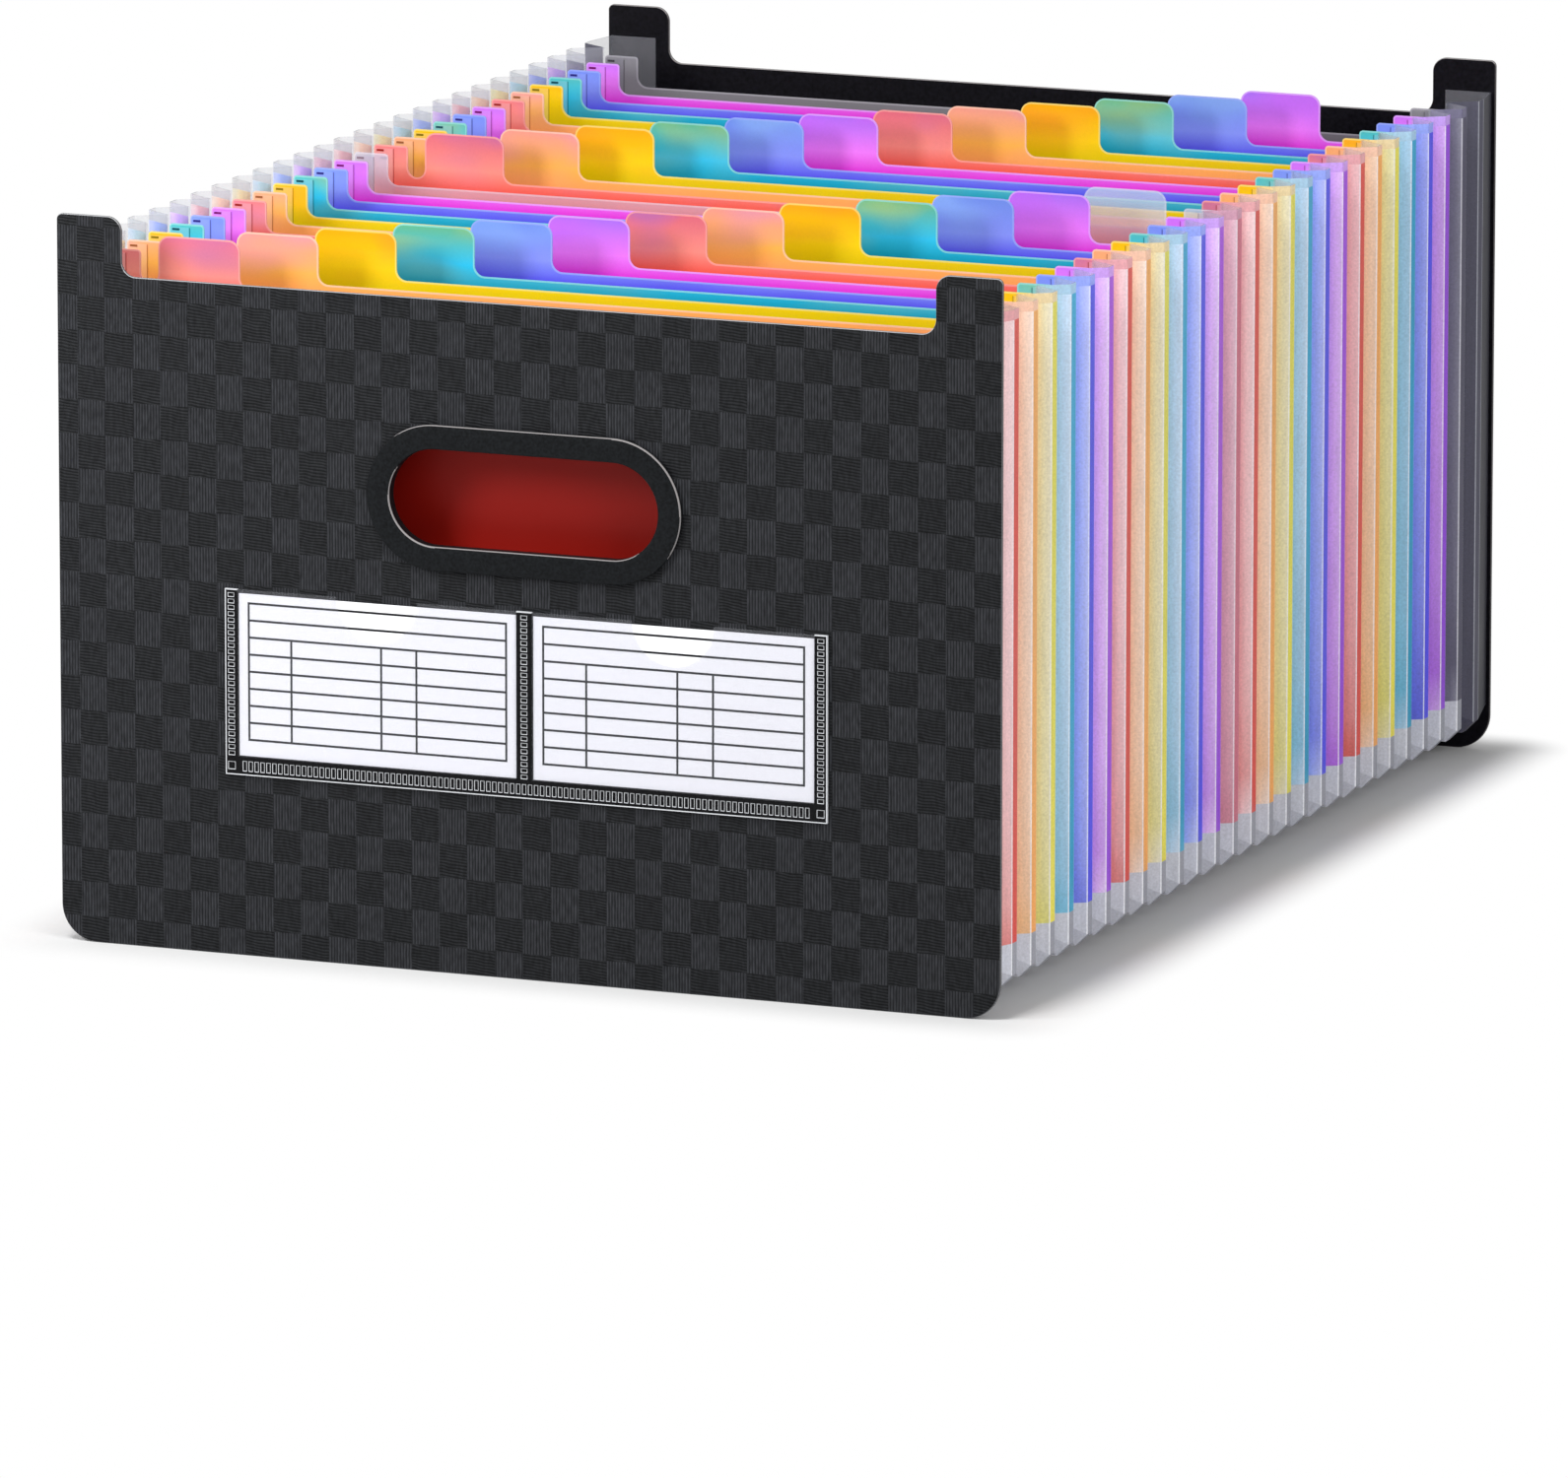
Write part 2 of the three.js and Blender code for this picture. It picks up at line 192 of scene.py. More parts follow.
@dataclass
class Graph:
    """Adds and joins nodes in one node tree.

    Args:
        tree: The material's or the group's node tree.
    """

    tree: NodeTree

    def feed(self, socket: Socket, value: object) -> None:
        """Links a socket to another, or sets it to a plain value.

        Args:
            socket: The input socket.
            value: An output socket or a plain value.
        """
        if isinstance(value, NodeSocket):
            self.tree.links.new(value, socket)
        else:
            socket.default_value = value

    def add(self, kind: str, inputs: Inputs | None = None, **settings: object) -> Node:
        """Adds one node.

        Args:
            kind: Blender's name of the node class.
            inputs: Values or sockets for its inputs.
            **settings: Its other properties.

        Returns:
            The node.
        """
        node = self.tree.nodes.new(kind)
        for name, value in settings.items():
            setattr(node, name, value)
        for name, value in (inputs or {}).items():
            self.feed(node.inputs[name], value)
        return node

    def math(self, operation: str, first: object, second: object = 0.0, third: object = 0.0) -> Socket:
        """Adds a Math node and returns its result."""
        return self.add("ShaderNodeMath", {0: first, 1: second, 2: third}, operation=operation).outputs[0]

    def remap(self, value: object, low: float, high: float, to_low: float, to_high: float) -> Socket:
        """Maps a value from one range to another, clamped, and returns the result."""
        names = {"Value": value, "From Min": low, "From Max": high, "To Min": to_low, "To Max": to_high}
        return self.add("ShaderNodeMapRange", names).outputs["Result"]

    def spread(self, noise: object, to_low: float, to_high: float) -> Socket:
        """Maps a noise value, which rarely leaves 0.3 to 0.7, to a range and returns the result."""
        return self.remap(noise, 0.3, 0.7, to_low, to_high)

    def blend(self, share: object, first: object, second: object, kind: str = "MIX") -> Socket:
        """Blends two colours.

        Args:
            share: Share of the second colour.
            first: The first colour.
            second: The second colour.
            kind: Blender's name of the way they blend.

        Returns:
            The blended colour.
        """
        node = self.add("ShaderNodeMix", data_type="RGBA", blend_type=kind)
        for index, value in ((0, share), (6, first), (7, second)):
            self.feed(node.inputs[index], value)
        return node.outputs[2]

    def toned(self, colour: object, tone: object) -> Socket:
        """Multiplies a colour by a tone and returns the result."""
        return self.blend(1.0, colour, tone, "MULTIPLY")

    def ramp(self, value: object, stops: list[tuple[float, Colour]]) -> Socket:
        """Adds a Color Ramp.

        Args:
            value: Where to read the ramp.
            stops: Place and colour of each stop, in order.

        Returns:
            The ramp's colour.
        """
        node = self.add("ShaderNodeValToRGB", {0: value})
        elements = node.color_ramp.elements
        for place, _ in stops[2:]:
            elements.new(place)
        for element, (place, colour) in zip(elements, stops):
            element.position, element.color = place, colour
        return node.outputs[0]

    def noise(self, vector: object, scale: object, detail: float = 2.0) -> Socket:
        """Adds a Noise Texture and returns its value."""
        names = {"Vector": vector, "Scale": scale, "Detail": detail}
        return self.add("ShaderNodeTexNoise", names).outputs[0]

    def place(self) -> Socket:
        """Object coordinates of the surface."""
        return self.add("ShaderNodeTexCoord").outputs["Object"]

    def stretch(self, vector: object, scale: tuple[float, float, float]) -> Socket:
        """Scales a vector and returns it."""
        return self.add("ShaderNodeMapping", {"Vector": vector, "Scale": scale}).outputs[0]

    def axes(self, vector: object) -> NodeOutputs:
        """The three parts of a vector."""
        return self.add("ShaderNodeSeparateXYZ", {0: vector}).outputs

    def attribute(self, name: str, output: str) -> Socket:
        """One output of an attribute of the mesh."""
        return self.add("ShaderNodeAttribute", attribute_name=name).outputs[output]

    def zones(self) -> NodeOutputs:
        """The three parts of the mesh's zone attribute."""
        return self.add("ShaderNodeSeparateColor", {0: self.attribute("zone", "Color")}).outputs

    def group(self, tree: NodeTree, inputs: Inputs) -> NodeOutputs:
        """Places a shader node group with its own values and returns its outputs."""
        return self.add("ShaderNodeGroup", inputs, node_tree=tree).outputs

    def bump(self, height: object, strength: float, distance: float) -> Socket:
        """Adds a Bump node and returns its normal."""
        names = {"Strength": strength, "Distance": distance, "Height": height}
        return self.add("ShaderNodeBump", names).outputs[0]

    def plastic(self, colour: object, roughness: object, specular: float, **others: object) -> Socket:
        """Adds a Principled shader and returns it."""
        names = {"Base Color": colour, "Roughness": roughness, "Specular IOR Level": specular, **others}
        return self.add("ShaderNodeBsdfPrincipled", names).outputs[0]

    def shade(self, share: object, first: Socket, second: Socket) -> Socket:
        """Mixes two shaders by a share of the second and returns the result."""
        return self.add("ShaderNodeMixShader", {0: share, 1: first, 2: second}).outputs[0]

    def backlit(self, share: float, colour: object, shader: Socket) -> Socket:
        """Lets a share of the light behind a sheet glow through it and returns the shader."""
        through = self.add("ShaderNodeBsdfTranslucent", {"Color": colour}).outputs[0]
        return self.shade(share, shader, through)

    def see_through(self, solid: object, shader: Socket, veil: Colour = WHITE) -> Socket:
        """Makes a shader see-through but for a solid share and returns it."""
        clear = self.add("ShaderNodeBsdfTransparent", {"Color": veil}).outputs[0]
        return self.shade(solid, clear, shader)


def new_group(name: str, inputs: list[str], outputs: list[str]) -> tuple[Graph, object, object]:
    """Starts a shader node group.

    Args:
        name: Name of the group.
        inputs: Names of its number inputs. A first input, Vector, is always there.
        outputs: Names of its number outputs.

    Returns:
        The group's graph, its input node's outputs and its output node's inputs.
    """
    tree = bpy.data.node_groups.new(name, "ShaderNodeTree")
    tree.interface.new_socket(name="Vector", in_out="INPUT", socket_type="NodeSocketVector")
    for direction, sockets in (("INPUT", inputs), ("OUTPUT", outputs)):
        for socket in sockets:
            tree.interface.new_socket(name=socket, in_out=direction, socket_type="NodeSocketFloat")
    graph = Graph(tree)
    return graph, graph.add("NodeGroupInput").outputs, graph.add("NodeGroupOutput").inputs


@cache
def grain_group() -> NodeTree:
    """Makes fine moulded grain: a height, and a speckle tone around 1.

    Returns:
        The node group, which is made once.
    """
    graph, entry, leave = new_group("Fine moulded grain", ["Grain Scale", "Speckle"], ["Tone", "Height"])
    fine = graph.noise(entry["Vector"], entry["Grain Scale"], detail=3.0)
    speckle = graph.math("MULTIPLY", graph.math("SUBTRACT", fine, 0.5), entry["Speckle"])
    drift = graph.spread(graph.noise(entry["Vector"], scale=60.0), to_low=0.94, to_high=1.06)
    graph.feed(leave["Tone"], graph.math("ADD", drift, speckle))
    graph.feed(leave["Height"], fine)
    return graph.tree


@cache
def frost_group() -> NodeTree:
    """Makes a frosted sheet: soft clouding, a fine sand texture and an uneven sheen.

    Returns:
        The node group, which is made once.
    """
    graph, entry, leave = new_group("Frosted sheet", ["Cloud", "Grit"], ["Tone", "Height", "Roughness"])
    cloud = graph.noise(entry["Vector"], scale=28.0)
    sand = graph.noise(entry["Vector"], scale=1300.0)
    clouding = graph.math("MULTIPLY_ADD", graph.math("SUBTRACT", cloud, 0.5), entry["Cloud"], 1.0)
    speckle = graph.math("MULTIPLY_ADD", graph.math("SUBTRACT", sand, 0.5), entry["Grit"], 1.0)
    graph.feed(leave["Tone"], graph.math("MULTIPLY", clouding, speckle))
    graph.feed(leave["Height"], sand)
    graph.feed(leave["Roughness"], graph.spread(cloud, to_low=0.38, to_high=0.5))
    return graph.tree


class Finish(Protocol):
    """How a surface looks."""

    def build(self, graph: Graph) -> Socket:
        """Makes the nodes and returns the shader."""


@cache
def material(name: str, finish: Finish) -> Material:
    """Makes a material.

    Args:
        name: The material's name.
        finish: Its finish.

    Returns:
        The material, which is made once.
    """
    made = bpy.data.materials.new(name)
    made.use_nodes = True
    made.node_tree.nodes.clear()
    graph = Graph(made.node_tree)
    output = graph.add("ShaderNodeOutputMaterial")
    graph.feed(output.inputs["Surface"], finish.build(graph))
    return made


@dataclass(frozen=True)
class CheckerEmboss:
    """Black sheet embossed with squares that are ribbed one way and the other by turns, the squares painted
    lighter and darker by turns as a painted sheen of the two rib directions.
    """

    # The two square colours stand for one black plastic: their difference is a painted sheen, how each rib
    # direction catches the light.
    light: Colour = linear(0x28292C)
    dark: Colour = linear(0x1B1C1E)
    edge_highlight: Colour = linear(0xBABBBE)
    edge_highlight_share: float = 0.7
    square_width: float = 9.8 * MM
    square_height: float = 11.46 * MM
    first_column: float = -157.9 * MM
    first_row: float = 226.39 * MM
    rib_pitch: float = 1.02 * MM
    rib_slope: float = 0.09
    wobble: float = 1.3 * MM
    upright_wobble: float = 0.25
    grain_height: float = 0.4
    rib_shading_tones: Range = (0.5, 1.5)
    rib_sheens: Range = (0.58, 0.46)
    strand_tones: Range = (0.66, 1.34)

    def build(self, graph: Graph) -> Socket:
        """Makes the ribs of both kinds of square, with painted shading along the ribs, and the painted
        highlight along the cut edge.

        Args:
            graph: The material's graph.

        Returns:
            The shader.
        """
        place = graph.place()
        across, _, up = graph.axes(place)
        column = graph.math("DIVIDE", graph.math("SUBTRACT", across, self.first_column), self.square_width)
        row = graph.math("DIVIDE", graph.math("SUBTRACT", up, self.first_row), self.square_height)
        cell = graph.add("ShaderNodeCombineXYZ", {0: column, 1: 0.5, 2: row}).outputs[0]
        is_light = graph.add("ShaderNodeTexChecker", {"Vector": cell, "Scale": 1.0}).outputs["Fac"]
        wobble = graph.math("MULTIPLY", graph.noise(place, scale=150.0, detail=1.0), self.wobble)
        swayed = graph.math("MULTIPLY_ADD", wobble, self.upright_wobble, across)
        tilted = graph.math("MULTIPLY_ADD", across, self.rib_slope, graph.math("ADD", up, wobble))
        turn = 2 * math.pi / self.rib_pitch
        upright, level = (
            graph.math("SINE", graph.math("MULTIPLY", phase, turn)) for phase in (swayed, tilted))
        rib = graph.add("ShaderNodeMix", {0: is_light, 2: level, 3: upright}, data_type="FLOAT").outputs[0]
        strands = graph.noise(graph.stretch(place, (1.0, 1.0, 0.3)), scale=900.0)
        grain = graph.group(grain_group(), {"Vector": place, "Grain Scale": 1500.0, "Speckle": 0.2})
        # Painted shade and highlight along the ribs: darker in their troughs, lighter on their crests.
        ribbed = graph.remap(rib, -1.0, 1.0, *self.rib_shading_tones)
        woven = graph.math("MULTIPLY", ribbed, graph.spread(strands, *self.strand_tones))
        tone = graph.math("MULTIPLY", woven, grain["Tone"])
        embossed = graph.toned(graph.blend(is_light, self.dark, self.light), tone)
        # The edge attribute paints a pale highlight along the cover's rounded edges.
        painted_highlight = graph.math("MULTIPLY", graph.attribute("edge", "Fac"), self.edge_highlight_share)
        height = graph.math("MULTIPLY_ADD", grain["Height"], self.grain_height, rib)
        return graph.plastic(
            graph.blend(painted_highlight, embossed, self.edge_highlight), graph.remap(rib, -1.0, 1.0, *self.rib_sheens),
            specular=0.09, Normal=graph.bump(height, strength=0.5, distance=0.12 * MM))


@dataclass(frozen=True)
class GrainedPlastic:
    """Black plastic with a fine plain grain."""

    colour: Colour
    roughness: float
    grain_scale: float
    speckle: float
    specular: float
    sheen: float = 0.06
    highlight_colour: Colour = linear(0x969292)

    def build(self, graph: Graph) -> Socket:
        """Makes the grain and the painted highlight along the edges.

        Args:
            graph: The material's graph.

        Returns:
            The shader.
        """
        grain = graph.group(grain_group(), {
            "Vector": graph.place(), "Grain Scale": self.grain_scale, "Speckle": self.speckle})
        grained = graph.toned(self.colour, grain["Tone"])
        return graph.plastic(
            # The edge attribute blends in a painted highlight along the rounded edges.
            graph.blend(graph.attribute("edge", "Fac"), grained, self.highlight_colour),
            graph.spread(grain["Height"], self.roughness - self.sheen, self.roughness + self.sheen),
            self.specular, Normal=graph.bump(grain["Height"], strength=0.4, distance=0.08 * MM))


@dataclass(frozen=True)
class DividerSheet:
    """Frosted see-through sheet plastic, with painted shade that darkens it deep in the file, painted light
    that makes it paler on the tabs, and a painted highlight along its rim.

    Its zone attribute marks the painted rim highlight, the welded strips and the weld marks.
    """

    tones: Tones
    edge: float
    top: float
    solid: float
    deep_drop: float = 34 * MM
    sheet_drop: float = 4 * MM
    glow_rise: float = 3.5 * MM
    patch_levels: Range = (0.46, 0.66)
    patch_share: float = 0.75
    weld_share: float = 0.22
    rim_highlight_share: float = 0.68
    through_share: float = 0.12

    def build(self, graph: Graph) -> Socket:
        """Makes the change of colour with height, which is painted shade low down and painted light on the
        tabs, the hints of a neighbour and the marked zones.

        Args:
            graph: The material's graph.

        Returns:
            The shader.
        """
        tones = self.tones
        place = graph.place()
        frost = graph.group(frost_group(), {"Vector": place, "Cloud": 0.14, "Grit": 0.1})
        height = graph.axes(place)[2]
        low = self.edge - self.deep_drop
        reach = self.top - low
        # Painted shade and light: the colour darkens towards deep low in the file and turns to the paler glow
        # above the top edges, as light shining through the tab.
        body = graph.ramp(graph.remap(height, low, self.top, 0.0, 1.0), [
            (0.0, tones.deep), ((self.edge - self.sheet_drop - low) / reach, tones.sheet),
            ((self.edge + self.glow_rise - low) / reach, tones.glow), (1.0, tones.tab)])
        patches = graph.noise(graph.stretch(place, (0.5, 1.0, 1.0)), scale=62.0, detail=1.0)
        above = graph.remap(height, self.edge - self.sheet_drop, self.top, 0.0, self.patch_share)
        shown = graph.math("MULTIPLY", graph.remap(patches, *self.patch_levels, 0.0, 1.0), above)
        rim, weld, mark = graph.zones()
        colour = graph.blend(shown, body, tones.hint)
        colour = graph.blend(graph.math("MULTIPLY", weld, self.weld_share), colour, tones.pale)
        # Painted highlight along the rim of the sheet.
        colour = graph.blend(graph.math("MULTIPLY", rim, self.rim_highlight_share), colour, tones.rim)
        colour = graph.blend(mark, colour, tones.deep)
        face = graph.plastic(
            graph.toned(colour, frost["Tone"]), frost["Roughness"], specular=0.2,
            Normal=graph.bump(frost["Height"], strength=0.15, distance=0.03 * MM))
        return graph.see_through(self.solid, graph.backlit(self.through_share, colour, face))


@dataclass(frozen=True)
class PleatFilm:
    """Frosted film that takes the tint of the dividers behind it from the tint attribute.

    Its skin shows only from its front side, so that light comes in through it and the pockets look
    clear from inside.
    """

    solid_behind: float = 0.06
    through_share: float = 0.15
    streak_tones: Range = (0.95, 1.05)

    def build(self, graph: Graph) -> Socket:
        """Makes the tinted frost, which is nearly clear on the skin's back side.

        Args:
            graph: The material's graph.

        Returns:
            The shader.
        """
        place = graph.place()
        frost = graph.group(frost_group(), {"Vector": place, "Cloud": 0.1, "Grit": 0.55})
        streaks = graph.noise(graph.stretch(place, (1.0, 1.0, 0.06)), scale=700.0)
        tone = graph.spread(streaks, *self.streak_tones)
        colour = graph.toned(graph.attribute("tint", "Color"), tone)
        face = graph.plastic(
            graph.toned(colour, frost["Tone"]), frost["Roughness"], specular=0.4,
            Normal=graph.bump(frost["Height"], strength=0.25, distance=0.05 * MM))
        behind = graph.add("ShaderNodeNewGeometry").outputs["Backfacing"]
        front_only = graph.remap(behind, 0.0, 1.0, 1.0, self.solid_behind)
        solid = graph.math("MULTIPLY", graph.attribute("tint", "Alpha"), front_only)
        return graph.see_through(solid, graph.backlit(self.through_share, colour, face))


@dataclass(frozen=True)
class LabelFilm:
    """Clear film: a window over the cards, welded dark to the cover round it.

    Its zone attribute marks the pale lines and the window.
    """

    weld: Colour = linear(0x0E0E10)
    line: Colour = linear(0xCCCED2)
    window: Colour = linear(0xCED0D6)
    window_veil: Colour = (0.93, 0.93, 0.94, 1.0)
    window_solid: float = 0.04
    weld_solid: float = 0.94

    def build(self, graph: Graph) -> Socket:
        """Makes the welded film and its clear window.

        Args:
            graph: The material's graph.

        Returns:
            The shader.
        """
        line, _, window = graph.zones()
        grain = graph.group(grain_group(), {
            "Vector": graph.place(), "Grain Scale": 1800.0, "Speckle": 0.25})
        shown = graph.blend(window, graph.blend(line, self.weld, self.line), self.window)
        film = graph.plastic(
            graph.toned(shown, grain["Tone"]), roughness=0.32, specular=0.1,
            Normal=graph.bump(grain["Height"], strength=0.15, distance=0.03 * MM))
        solid = graph.remap(window, 0.0, 1.0, self.weld_solid, self.window_solid)
        return graph.see_through(solid, film, self.window_veil)


@dataclass(frozen=True)
class CardStock:
    """Uncoated white card with a faint fibre."""

    colour: Colour = linear(0xF3F3F7)
    fibre_tones: Range = (0.975, 1.015)

    def build(self, graph: Graph) -> Socket:
        """Makes the fibre and returns the shader."""
        fibre = graph.noise(graph.place(), scale=1100.0, detail=4.0)
        return graph.plastic(
            graph.toned(self.colour, graph.spread(fibre, *self.fibre_tones)), roughness=0.85,
            specular=0.2, Normal=graph.bump(fibre, strength=0.2, distance=0.02 * MM))


@dataclass(frozen=True)
class PrintInk:
    """Dark printing ink, a little uneven."""

    colour: Colour = linear(0x08090C)
    ink_tones: Range = (0.85, 1.3)

    def build(self, graph: Graph) -> Socket:
        """Makes the uneven ink and returns the shader."""
        tone = graph.spread(graph.noise(graph.place(), scale=1500.0), *self.ink_tones)
        return graph.plastic(graph.toned(self.colour, tone), roughness=0.7, specular=0.2)


@dataclass(frozen=True)
class FloorPaint:
    """Pale floor that carries the shadow and looks plain white away from the file."""

    half_width: float
    half_depth: float
    colour: Colour = (0.66, 0.66, 0.66, 1.0)
    reach: float = 0.029

    def build(self, graph: Graph) -> Socket:
        """Makes the floor turn white, to the camera only, over its reach round the file.

        Args:
            graph: The material's graph.

        Returns:
            The shader.
        """
        across, deep, _ = graph.axes(graph.place())
        beyond = {
            index: graph.math("MAXIMUM", graph.math("SUBTRACT", graph.math("ABSOLUTE", value), half), 0.0)
            for index, (value, half) in enumerate(((across, self.half_width), (deep, self.half_depth)))}
        offset = graph.add("ShaderNodeCombineXYZ", beyond).outputs[0]
        distance = graph.add("ShaderNodeVectorMath", {0: offset}, operation="LENGTH").outputs["Value"]
        names = {"Value": distance, "From Min": 0.0, "From Max": self.reach}
        far = graph.add("ShaderNodeMapRange", names, interpolation_type="SMOOTHSTEP").outputs["Result"]
        seen = graph.add("ShaderNodeLightPath").outputs["Is Camera Ray"]
        lit = graph.add("ShaderNodeBsdfDiffuse", {"Color": self.colour}).outputs[0]
        plain = graph.add("ShaderNodeEmission", {"Color": WHITE, "Strength": 1.0}).outputs[0]
        return graph.shade(graph.math("MULTIPLY", far, seen), lit, plain)


def node_body(node: str) -> str:
    """Name of the body that carries a CAD node."""
    bodies = frame["record"]["behaviour"]["bodies"]
    return next(body for body, nodes in bodies.items() if node in nodes)


def node_slot(node: str) -> str:
    """Material slot of a CAD node."""
    rows = frame["record"]["subparts"]
    return next(row["material_slot"] for row in rows if row["node"] == node)


def mix(first: Colour, second: Colour, share: float) -> Colour:
    """Blends two colours by a share of the second."""
    return tuple(a + (b - a) * share for a, b in zip(first, second))


def finish_node(node: str, surface: Material) -> None:
    """Gives a CAD node, which keeps its mesh, a finish.

    Args:
        node: Name of the CAD node.
        surface: Its material.
    """
    materials = frame["nodes"][node].data.materials
    materials.clear()
    materials.append(surface)


class Shape:
    """A mesh in the making that belongs to a CAD node."""

    flat_degrees = 0.3

    def __init__(self, node: str, attribute: str = "", copied: bool = True) -> None:
        """Starts the mesh empty, or as a copy of the CAD node whose flat sides are single faces.

        Args:
            node: Name of the CAD node.
            attribute: Name of the mesh's colour attribute, or empty for none.
            copied: Whether to copy the CAD node.
        """
        self.node = node
        self.low, self.high = (Vector(corner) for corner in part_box(node))
        self.bm = bm = bmesh.new()
        if copied:
            bm.from_mesh(frame["nodes"][node].data)
            bmesh.ops.remove_doubles(bm, verts=bm.verts[:], dist=TOUCH)
            bmesh.ops.dissolve_limit(
                bm, angle_limit=math.radians(self.flat_degrees), use_dissolve_boundaries=False,
                verts=bm.verts[:], edges=bm.edges[:], delimit=set())
        self.layer = bm.loops.layers.float_color.new(attribute) if attribute else None

    def sharp_edges(self, least_degrees: float) -> list[BMEdge]:
        """Edges whose two faces meet at more than an angle."""
        least = math.radians(least_degrees)
        return [edge for edge in self.bm.edges if edge.calc_face_angle(0.0) > least]

    def bevel(self, edges: list[BMEdge], offset: float, segments: int) -> set[BMFace]:
        """Rounds edges.

        Args:
            edges: The edges.
            offset: How far from the edge the rounding starts.
            segments: Faces across the rounding.

        Returns:
            The new faces.
        """
        faces = bmesh.ops.bevel(
            self.bm, geom=edges, offset=offset, offset_type="OFFSET", segments=segments,
            profile=0.5, affect="EDGES", material=-1, clamp_overlap=True)["faces"]
        return {face for face in faces if face.is_valid}

    def cut(self, axis: int, places: Iterable[float]) -> None:
        """Cuts the mesh straight across one axis.

        Args:
            axis: 0, 1 or 2 for X, Y or Z.
            places: Where to cut along that axis.
        """
        for place in places:
            point, direction = Vector(), Vector()
            point[axis], direction[axis] = place, 1.0
            geometry = self.bm.verts[:] + self.bm.edges[:] + self.bm.faces[:]
            bmesh.ops.bisect_plane(self.bm, geom=geometry, dist=TOUCH, plane_co=point, plane_no=direction)

    def block(self, across: Range, deep: Range, up: Range) -> list[BMFace]:
        """Adds a block.

        Args:
            across: Its least and greatest X.
            deep: Its least and greatest Y.
            up: Its least and greatest Z.

        Returns:
            Its faces.
        """
        low, high = (Vector(corner) for corner in zip(across, deep, up))
        matrix = Matrix.Translation((low + high) / 2) @ Matrix.Diagonal((*(high - low), 1.0))
        verts = bmesh.ops.create_cube(self.bm, size=1.0, matrix=matrix)["verts"]
        return list({face for vert in verts for face in vert.link_faces})

    def paint(self, faces: Iterable[BMFace], *colour: float) -> None:
        """Gives faces one colour in the attribute.

        Args:
            faces: The faces.
            *colour: Red, green, blue and, where it isn't 1, alpha.
        """
        for face in faces:
            for loop in face.loops:
                loop[self.layer] = (*colour, 1.0)[:4]

    def add_piece(self, name: str, surface: Material, smooth_below: float = 0.0) -> Object:
        """Turns the mesh into a piece on the body of its CAD node.

        Args:
            name: Name of the piece.
            surface: Its material.
            smooth_below: Smooth shading under this edge angle, in degrees, or 0 for flat.

        Returns:
            The piece.
        """
        piece = add_object(self.bm, name, surface)
        if smooth_below:
            piece.data.shade_smooth()
            piece.data.set_sharp_from_angle(angle=math.radians(smooth_below))
        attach(piece, node_body(self.node))
        LOG.info("%s: %d faces on %s", name, len(piece.data.polygons), node_body(self.node))
        return piece

    def replace_node(self, name: str, surface: Material, smooth_below: float = 0.0) -> Object:
        """Turns the mesh into a piece that stands for its CAD node.

        Args:
            name: Name of the piece.
            surface: Its material.
            smooth_below: Smooth shading under this edge angle, in degrees, or 0 for flat.

        Returns:
            The piece.
        """
        piece = self.add_piece(name, surface, smooth_below)
        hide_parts(self.node)
        return piece


def add_object(bm: BMesh, name: str, surface: Material) -> Object:
    """Turns a mesh into an object of the scene.

    Args:
        bm: The mesh, freed here.
        name: Name of the object.
        surface: Its material.

    Returns:
        The object.
    """
    mesh = bpy.data.meshes.new(name)
    bm.to_mesh(mesh)
    bm.free()
    mesh.materials.append(surface)
    made = bpy.data.objects.new(name, mesh)
    bpy.context.scene.collection.objects.link(made)
    return made


@dataclass
class Covers:
    """The two stiff covers."""

    edge_radius: float = 0.22 * MM
    upward: float = 0.2
    flat: float = 0.99
    side_highlight: float = 0.3
    sharp_degrees: float = 50.0

    def build(self) -> None:
        """Makes both covers with softly rounded edges and a painted highlight along them, brightest along the
        top.
        """
        finishes = {
            "front_cover": ("Checker embossed sheet", CheckerEmboss()),
            "back_cover": ("Plain grained sheet", GrainedPlastic(
                linear(0x0D0C11), roughness=0.5, grain_scale=700.0, speckle=2.4, specular=0.08)),
        }
        for node, (name, finish) in finishes.items():
            shape = Shape(node, "edge")
            rounded = shape.bevel(shape.sharp_edges(self.sharp_degrees), self.edge_radius, segments=2)
            # Painted highlight: rounded faces that face up get it in full, the other edge faces a weaker
            # share.
            for face in shape.bm.faces:
                share = 1.0 if face in rounded and face.normal.z > self.upward else self.side_highlight
                painted_highlight = share if abs(face.normal.y) < self.flat else 0.0
                shape.paint([face], painted_highlight, painted_highlight, painted_highlight)
            shape.replace_node(f"{node}_sheet", material(name, finish))


